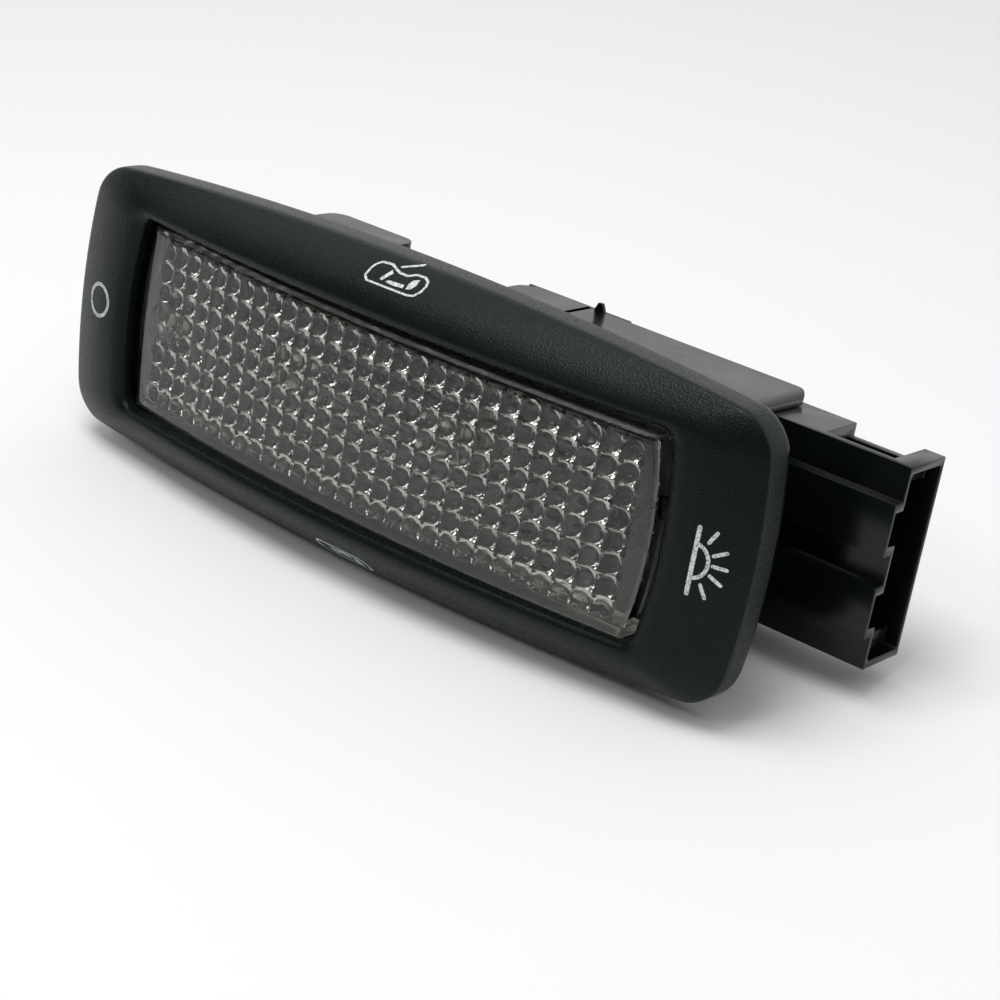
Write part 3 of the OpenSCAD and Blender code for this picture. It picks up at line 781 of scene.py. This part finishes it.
def lens_y(x, depth):
    """Place of the bowed face, or of a surface some depth below it; the rim is flat."""
    if depth is None:
        return -LENS_BACK_H
    return FACE_R - LENS_FACE_H - math.sqrt((FACE_R - depth) ** 2 - x * x)


def face_above(x, depth):
    """Place of a surface of the level lens at some distance from the pivot."""
    return lens_y(x - LENS_SHIFT, depth)


class Beads:
    """Grid of round beads on the inside of the lens, in millimetres."""

    def __init__(self, settings):
        self.columns = settings.columns
        self.rows = settings.rows
        self.pitch = (settings.pitch_x / MM, settings.pitch_z / MM)
        self.radius = settings.bead_r / MM
        self.height = settings.bead_h / MM
        self.steps_x = self.columns * BEAD_STEPS + 2
        self.steps_z = self.rows * BEAD_STEPS + 2
        self.ball = (self.radius**2 + self.height**2) / (2 * self.height)

    def along(self, i):
        """Place of a step along the lens."""
        return (i - 1) * self.pitch[0] / BEAD_STEPS - self.columns * self.pitch[0] / 2

    def across(self, j):
        """Place of a step across the lens."""
        return (j - 1) * self.pitch[1] / BEAD_STEPS - self.rows * self.pitch[1] / 2

    def rounded(self, i, j):
        """Place and rise of a grid point, once the squares in each cell are drawn into circles."""
        half = BEAD_STEPS // 2
        a, b = (i - 1) % BEAD_STEPS - half, (j - 1) % BEAD_STEPS - half
        x, z = self.along(i), self.across(j)
        ring = max(abs(a), abs(b))
        reach = math.hypot(a, b) or 1.0
        centre_x, centre_z = self.along(i - a), self.across(j - b)
        if ring == half:
            r = math.hypot(x - centre_x, z - centre_z)
        else:
            uneven = math.sin(BEAD_SCATTER[0] * (i - a) + BEAD_SCATTER[1] * (j - b))
            r = self.radius * (1 + UNEVEN_R * uneven) * ring / (half - 1)
            x, z = centre_x + r * a / reach, centre_z + r * b / reach + UNEVEN_Z * uneven
        if i in (1, self.steps_x - 1) or j in (1, self.steps_z - 1):
            return x, z, 0.0
        r = min(r, BALL_REACH * self.ball)
        rise = math.sqrt(self.ball**2 - r**2) - (self.ball - self.height)
        return x, z, rise - (BEAD_GROOVE if ring == half else 0.0)

    def place(self, i, j, ring):
        """Point of the lens for a step along, a step across and a ring."""
        inset, depth = LENS_RINGS[ring]
        at_end = i in (0, self.steps_x)
        at_side = j in (0, self.steps_z)
        x, z, rise = self.along(i), self.across(j), 0.0
        if ring == len(LENS_RINGS) - 1 and not (at_end or at_side):
            x, z, rise = self.rounded(i, j)
        if at_side:
            z = math.copysign(LENS_H / 2 - inset, z)
        if at_end:
            x = math.copysign(lens_half_l(z, inset), x)
        return Vector((x + LENS_SHIFT, lens_y(x, depth) + rise, z)) * MM


def turn_to_rest(piece):
    """Turns a piece of the lens from level to its rest position, pressed in at the left."""
    pivot = Matrix.Translation((0, -PIVOT_H * MM, 0))
    tilt = Matrix.Rotation(-math.radians(LENS_TILT), 4, "Z")
    piece.data.transform(pivot @ tilt @ pivot.inverted())


def lens_sheet(beads, ring):
    """Flat sheet with one square for each step, at the height of its ring."""
    bpy.ops.mesh.primitive_grid_add(
        x_subdivisions=beads.steps_x, y_subdivisions=beads.steps_z, size=2
    )
    sheet = bpy.context.object
    sheet.data.transform(Matrix.Diagonal((beads.steps_x / 2, beads.steps_z / 2, 1, 1)))
    sheet.data.transform(Matrix.Translation((beads.steps_x / 2, beads.steps_z / 2, ring)))
    return sheet


def beaded_shell(beads):
    """Lens body: a face sheet, walls extruded from its edge, and a beaded sheet that closes it."""
    last = len(LENS_RINGS) - 1
    face = lens_sheet(beads, 0)
    edit(face)
    bpy.ops.mesh.select_mode(type="EDGE")
    bpy.ops.mesh.select_all(action="DESELECT")
    bpy.ops.mesh.select_non_manifold()
    for _ in range(last):
        bpy.ops.mesh.extrude_edges_move(TRANSFORM_OT_translate={"value": (0, 0, 1)})
    leave_edit()
    shell = joined("lens_shell", [face, lens_sheet(beads, last)])
    edit(shell)
    bpy.ops.mesh.select_mode(type="VERT")
    bpy.ops.mesh.remove_doubles(threshold=0.01)
    leave_edit()
    for v in shell.data.vertices:
        v.co = beads.place(round(v.co.x), round(v.co.y), round(v.co.z))
    edit(shell)
    bpy.ops.mesh.normals_make_consistent(inside=False)
    leave_edit()
    only(shell)
    bpy.ops.object.shade_smooth_by_angle(angle=math.radians(48))
    return shell


def tube(x, y0, y1, outer, inner):
    """Hollow post along Y, open at its far end."""
    bpy.ops.mesh.primitive_cylinder_add(vertices=64, radius=outer * MM, depth=(y1 - y0) * MM)
    post = bpy.context.object
    edit(post)
    bpy.ops.mesh.select_mode(type="FACE")
    bpy.ops.mesh.select_all(action="DESELECT")
    leave_edit()
    for face in post.data.polygons:
        face.select = face.normal.z < -0.9
    bpy.ops.object.mode_set(mode="EDIT")
    bpy.ops.mesh.inset(thickness=(outer - inner) * MM)
    depth = (y1 - y0 - POST_FLOOR) * MM
    bpy.ops.mesh.extrude_region_move(TRANSFORM_OT_translate={"value": (0, 0, depth)})
    leave_edit()
    post.data.transform(Matrix.Rotation(math.pi / 2, 4, "X"))
    post.data.transform(Matrix.Translation((x * MM, (y0 + y1) / 2 * MM, 0)))
    return post


def trunnion(side):
    """Round pin on one long side of the lens, on which it turns."""
    length = TRUNNION_END - LENS_H / 2
    bpy.ops.mesh.primitive_cylinder_add(vertices=48, radius=PIVOT_R * MM, depth=length * MM)
    pin = bpy.context.object
    middle = side * (LENS_H / 2 + length / 2)
    pin.data.transform(Matrix.Translation((0, -PIVOT_H * MM, middle * MM)))
    return pin


def notched_foot():
    """Foot of the lens, with a notch for each position."""
    top = face_above(FOOT_X, LENS_T) + FOOT_SINK
    bpy.ops.mesh.primitive_cube_add(size=1)
    foot = bpy.context.object
    foot.data.transform(Matrix.Diagonal((FOOT_T * MM, (FOOT_END_Y - top) * MM, FOOT_W * MM, 1)))
    foot.data.transform(Matrix.Translation((FOOT_X * MM, (FOOT_END_Y + top) / 2 * MM, 0)))
    for step in (-1, 0, 1):
        bpy.ops.mesh.primitive_cylinder_add(
            vertices=32, radius=NOTCH_R * MM, depth=(FOOT_W + 1) * MM
        )
        cutter = bpy.context.object
        x, y = FOOT_X + FOOT_T / 2 + NOTCH_OUT, NOTCH_Y + step * NOTCH_STEP
        cutter.data.transform(Matrix.Translation((x * MM, y * MM, 0)))
        apply_modifier(foot, "BOOLEAN", operation="DIFFERENCE", object=cutter, solver="EXACT")
        bpy.data.objects.remove(cutter)
    return foot


class DOME_OT_lens(bpy.types.Operator):
    """Smoked rocker lens with its beaded inside, post, foot and trunnions"""

    bl_idname = "dome.lens"
    bl_label = "Beaded lens"

    def execute(self, context):
        plastic = smoked_plastic(context.scene.dome_colours.smoke)
        shell = beaded_shell(Beads(context.scene.dome_lens))
        top = face_above(POST_X + POST_R, LENS_T)
        post = tube(POST_X, top, POST_END_Y, POST_R, POST_R - POST_WALL)
        fittings = joined("lens_fittings", [post, notched_foot(), trunnion(-1), trunnion(1)])
        apply_modifier(
            fittings,
            "BEVEL",
            width=FITTING_EDGE * MM,
            segments=2,
            limit_method="ANGLE",
            angle_limit=math.radians(50),
        )
        bpy.ops.object.shade_smooth_by_angle(angle=math.radians(35))
        for piece in (shell, fittings):
            turn_to_rest(piece)
        dress(shell, plastic, "lens", "rocker_lens", slot="smoked_lens")
        dress(fittings, plastic, "lens", slot="smoked_lens")
        return {"FINISHED"}


# ------------------------------------------------------------- inner parts


class DOME_OT_reflector(bpy.types.Operator):
    """Finish of the metallised reflector"""

    bl_idname = "dome.reflector"
    bl_label = "Reflector"

    def execute(self, context):
        paint("reflector", metallised_plastic(context.scene.dome_colours.reflector))
        return {"FINISHED"}


class DOME_OT_bulb(bpy.types.Operator):
    """Festoon bulb: clear glass, tinned caps and a dull filament"""

    bl_idname = "dome.bulb"
    bl_label = "Bulb"

    def execute(self, context):
        paint("bulb_glass", clear_glass())
        tin = metal("bulb_cap_tin", (0.62, 0.6, 0.56), 0.25, 0.45)
        paint("bulb_cap_left", tin)
        paint("bulb_cap_right", tin)
        paint("bulb_filament", metal("filament_tungsten", (0.2, 0.2, 0.21), 0.4, 0.6))
        return {"FINISHED"}


class DOME_OT_contacts(bpy.types.Operator):
    """Finishes of the strips, springs, contact points and rivets"""

    bl_idname = "dome.contacts"
    bl_label = "Contacts and springs"

    def execute(self, context):
        brass = metal("strip_brass", context.scene.dome_colours.brass, 0.3, 0.5, 0.15)
        spring = metal("leaf_spring_steel", (0.5, 0.49, 0.46), 0.28, 0.42)
        silver = metal("contact_silver_point", (0.8, 0.8, 0.79), 0.2, 0.35)
        tinned = metal("rocker_contact_tinned", (0.95, 0.93, 0.88), 0.2, 0.38, 0.8, dent=0.3)
        for node in ("supply_strip", "lamp_strip", "ground_strip", "door_strip", "strip_rivets"):
            paint(node, brass)
        for node in ("switch_spring", "detent_spring", "retaining_spring"):
            paint(node, spring)
        paint("contact_buttons", silver)
        paint("rocker_contact", tinned)
        return {"FINISHED"}


# -------------------------------------------------------------------- stage


# Side of the floor, in metres
FLOOR_SIZE = 6

# Light from all round: how far its brightest point lies towards the back, its strength below and
# above, and the height at which it starts to rise
SKY_LEAN = Vector((0, 0.35, 0))
SKY_LOW, SKY_HIGH, SKY_START = 0.12, 1.7, -0.1
SKY_COLOUR = (0.97, 0.985, 1.0, 1)

# The room in front, as it is seen and mirrored: its brightness, and the directions along Y
# between which white turns into it
ROOM_DIM = 0.08
ROOM_END, ROOM_START = -0.45, -0.1

# Lamps: direction and distance from the light, size, and colour
KEY_WAY, KEY_FAR, KEY_SIZE = (-0.08, -0.36, 0.93), 0.62, (0.36, 0.3)
KEY_COLOUR = (1, 0.99, 0.97)
WINDOW_WAY, WINDOW_FAR, WINDOW_SIZE = (-0.12, -0.80, 0.58), 0.7, (0.16, 0.12)
WINDOW_COLOUR = (0.95, 0.98, 1)

# Camera of the photograph: place, directions to the right and up in the picture, and focal
# length in pixels of the square photograph
CAMERA_PLACE = Vector((232.30, -290.25, 123.97)) * MM
CAMERA_RIGHT = Vector((0.762, 0.626, 0.165))
CAMERA_UP = Vector((-0.342, 0.173, 0.9235))
FOCAL_PX = 2330
PHOTO_PX = 1000
SENSOR_MM = 36


def floor_material(colour):
    """Matt white table."""
    f = Finish("stage_floor_white")
    paper = f.texture("ShaderNodeTexNoise", Scale=30.0, Detail=3.0)
    f.tint(paper, "Fac", shade(colour, 0.995), shade(colour, 1.005))
    f.set(Roughness=0.75, Specular_IOR_Level=0.2)
    return f.material


def surroundings(strength, up):
    """Soft light from above and behind. What is seen, mirrored or looked through to is plain
    white round the sides and behind, and a dim room in front."""
    world = bpy.data.worlds.new("studio")
    bpy.context.scene.world = world
    w = Nodes(world)
    coords = w.add("ShaderNodeTexCoord")

    height = w.add("ShaderNodeVectorMath", operation="DOT_PRODUCT")
    height.inputs[1].default_value = (up + SKY_LEAN).normalized()
    w.link(coords, "Generated", height, 0)
    low, high = SKY_LOW * strength, SKY_HIGH * strength
    sky = w.ramp(height, "Value", low, high, SKY_START, interpolation_type="SMOOTHSTEP")
    light = w.add("ShaderNodeBackground", Color=SKY_COLOUR)
    w.link(sky, "Result", light, "Strength")

    ahead = w.add("ShaderNodeSeparateXYZ")
    w.link(coords, "Generated", ahead, "Vector")
    room = w.ramp(ahead, "Y", ROOM_DIM, 1.0, ROOM_END, ROOM_START, interpolation_type="SMOOTHSTEP")
    white = w.add("ShaderNodeBackground", Color=(1, 1, 1, 1))
    w.link(room, "Result", white, "Strength")

    path = w.add("ShaderNodeLightPath")
    mirrored = w.add("ShaderNodeMath", operation="MAXIMUM")
    w.link(path, "Is Glossy Ray", mirrored, 0)
    w.link(path, "Is Transmission Ray", mirrored, 1)
    seen = w.add("ShaderNodeMath", operation="MAXIMUM")
    w.link(path, "Is Camera Ray", seen, 0)
    w.link(mirrored, "Value", seen, 1)
    mix = w.add("ShaderNodeMixShader")
    w.link(seen, "Value", mix, "Fac")
    w.link(light, "Background", mix, 1)
    w.link(white, "Background", mix, 2)
    output = w.add("ShaderNodeOutputWorld")
    w.link(mix, "Shader", output, "Surface")


def soft_lamp(name, way, distance, size, power, colour):
    """Rectangular lamp that shines on the middle of the light."""
    place = Vector(way).normalized() * distance
    bpy.ops.object.light_add(type="AREA", location=place)
    lamp = bpy.context.object
    lamp.name = lamp.data.name = name
    lamp.data.shape = "RECTANGLE"
    lamp.data.size, lamp.data.size_y = size
    lamp.data.energy = power
    lamp.data.color = colour
    lamp.rotation_euler = (-place).to_track_quat("-Z", "Y").to_euler()


def photo_camera():
    """Camera at the photograph's place and angle."""
    bpy.ops.object.camera_add(location=CAMERA_PLACE)
    camera = bpy.context.object
    camera.name = camera.data.name = "photo_camera"
    right = CAMERA_RIGHT.normalized()
    top = (CAMERA_UP - right * right.dot(CAMERA_UP)).normalized()
    back = right.cross(top)
    camera.rotation_euler = Matrix((right, top, back)).transposed().to_euler()
    camera.data.sensor_width = SENSOR_MM
    camera.data.lens = SENSOR_MM * FOCAL_PX / PHOTO_PX
    camera.data.clip_start = 10 * MM
    return camera


class DOME_OT_stage(bpy.types.Operator):
    """Pale floor that the light leans on, soft lamps and the camera of the photograph"""

    bl_idname = "dome.stage"
    bl_label = "Stage"

    def execute(self, context):
        stage = context.scene.dome_stage
        context.scene.view_settings.view_transform = "Standard"
        up = Vector((0, -math.sin(stage.lean), math.cos(stage.lean)))
        lowest = min(v.co.dot(up) for node in NODES.values() for v in node.data.vertices)
        bpy.ops.mesh.primitive_plane_add(size=FLOOR_SIZE)
        floor = bpy.context.object
        floor.name = floor.data.name = "stage_floor"
        floor.data.transform(up.to_track_quat("Z", "Y").to_matrix().to_4x4())
        floor.data.transform(Matrix.Translation(up * lowest))
        floor.data.materials.append(floor_material(stage.floor))

        surroundings(stage.world, up)
        soft_lamp("key_lamp", KEY_WAY, KEY_FAR, KEY_SIZE, stage.key_power, KEY_COLOUR)
        soft_lamp(
            "window_lamp", WINDOW_WAY, WINDOW_FAR, WINDOW_SIZE, stage.window_power, WINDOW_COLOUR
        )
        context.scene.camera = photo_camera()
        return {"FINISHED"}


# -------------------------------------------------------------------- add-on


class DOME_PT_panel(bpy.types.Panel):
    """Lists the pieces of the light"""

    bl_idname = "DOME_PT_panel"
    bl_label = "Dome Light"
    bl_space_type = "VIEW_3D"
    bl_region_type = "UI"
    bl_category = "Dome Light"

    def draw(self, context):
        for name in GROUPS:
            group = getattr(context.scene, name)
            box = self.layout.box()
            for key in group.bl_rna.properties.keys():
                if key not in ("rna_type", "name"):
                    box.prop(group, key)
        for operator in OPERATORS:
            self.layout.operator(operator.bl_idname)


GROUPS = {
    "dome_colours": DomeLightColours,
    "dome_lens": DomeLightLens,
    "dome_stage": DomeLightStage,
}
OPERATORS = (
    DOME_OT_bezel,
    DOME_OT_marks,
    DOME_OT_case,
    DOME_OT_lens,
    DOME_OT_reflector,
    DOME_OT_bulb,
    DOME_OT_contacts,
    DOME_OT_stage,
)


def register():
    """Registers the property groups, the operators and the panel."""
    for name, group in GROUPS.items():
        bpy.utils.register_class(group)
        setattr(bpy.types.Scene, name, bpy.props.PointerProperty(type=group))
    for operator in OPERATORS:
        bpy.utils.register_class(operator)
    bpy.utils.register_class(DOME_PT_panel)


def unregister():
    """Takes out what register put in."""
    bpy.utils.unregister_class(DOME_PT_panel)
    for operator in reversed(OPERATORS):
        bpy.utils.unregister_class(operator)
    for name, group in reversed(GROUPS.items()):
        delattr(bpy.types.Scene, name)
        bpy.utils.unregister_class(group)


def main():
    """Makes the whole scene."""
    register()
    bpy.ops.dome.bezel()
    bpy.ops.dome.marks()
    bpy.ops.dome.case()
    bpy.ops.dome.lens()
    bpy.ops.dome.reflector()
    bpy.ops.dome.bulb()
    bpy.ops.dome.contacts()
    bpy.ops.dome.stage()


if __name__ == "__main__":
    main()
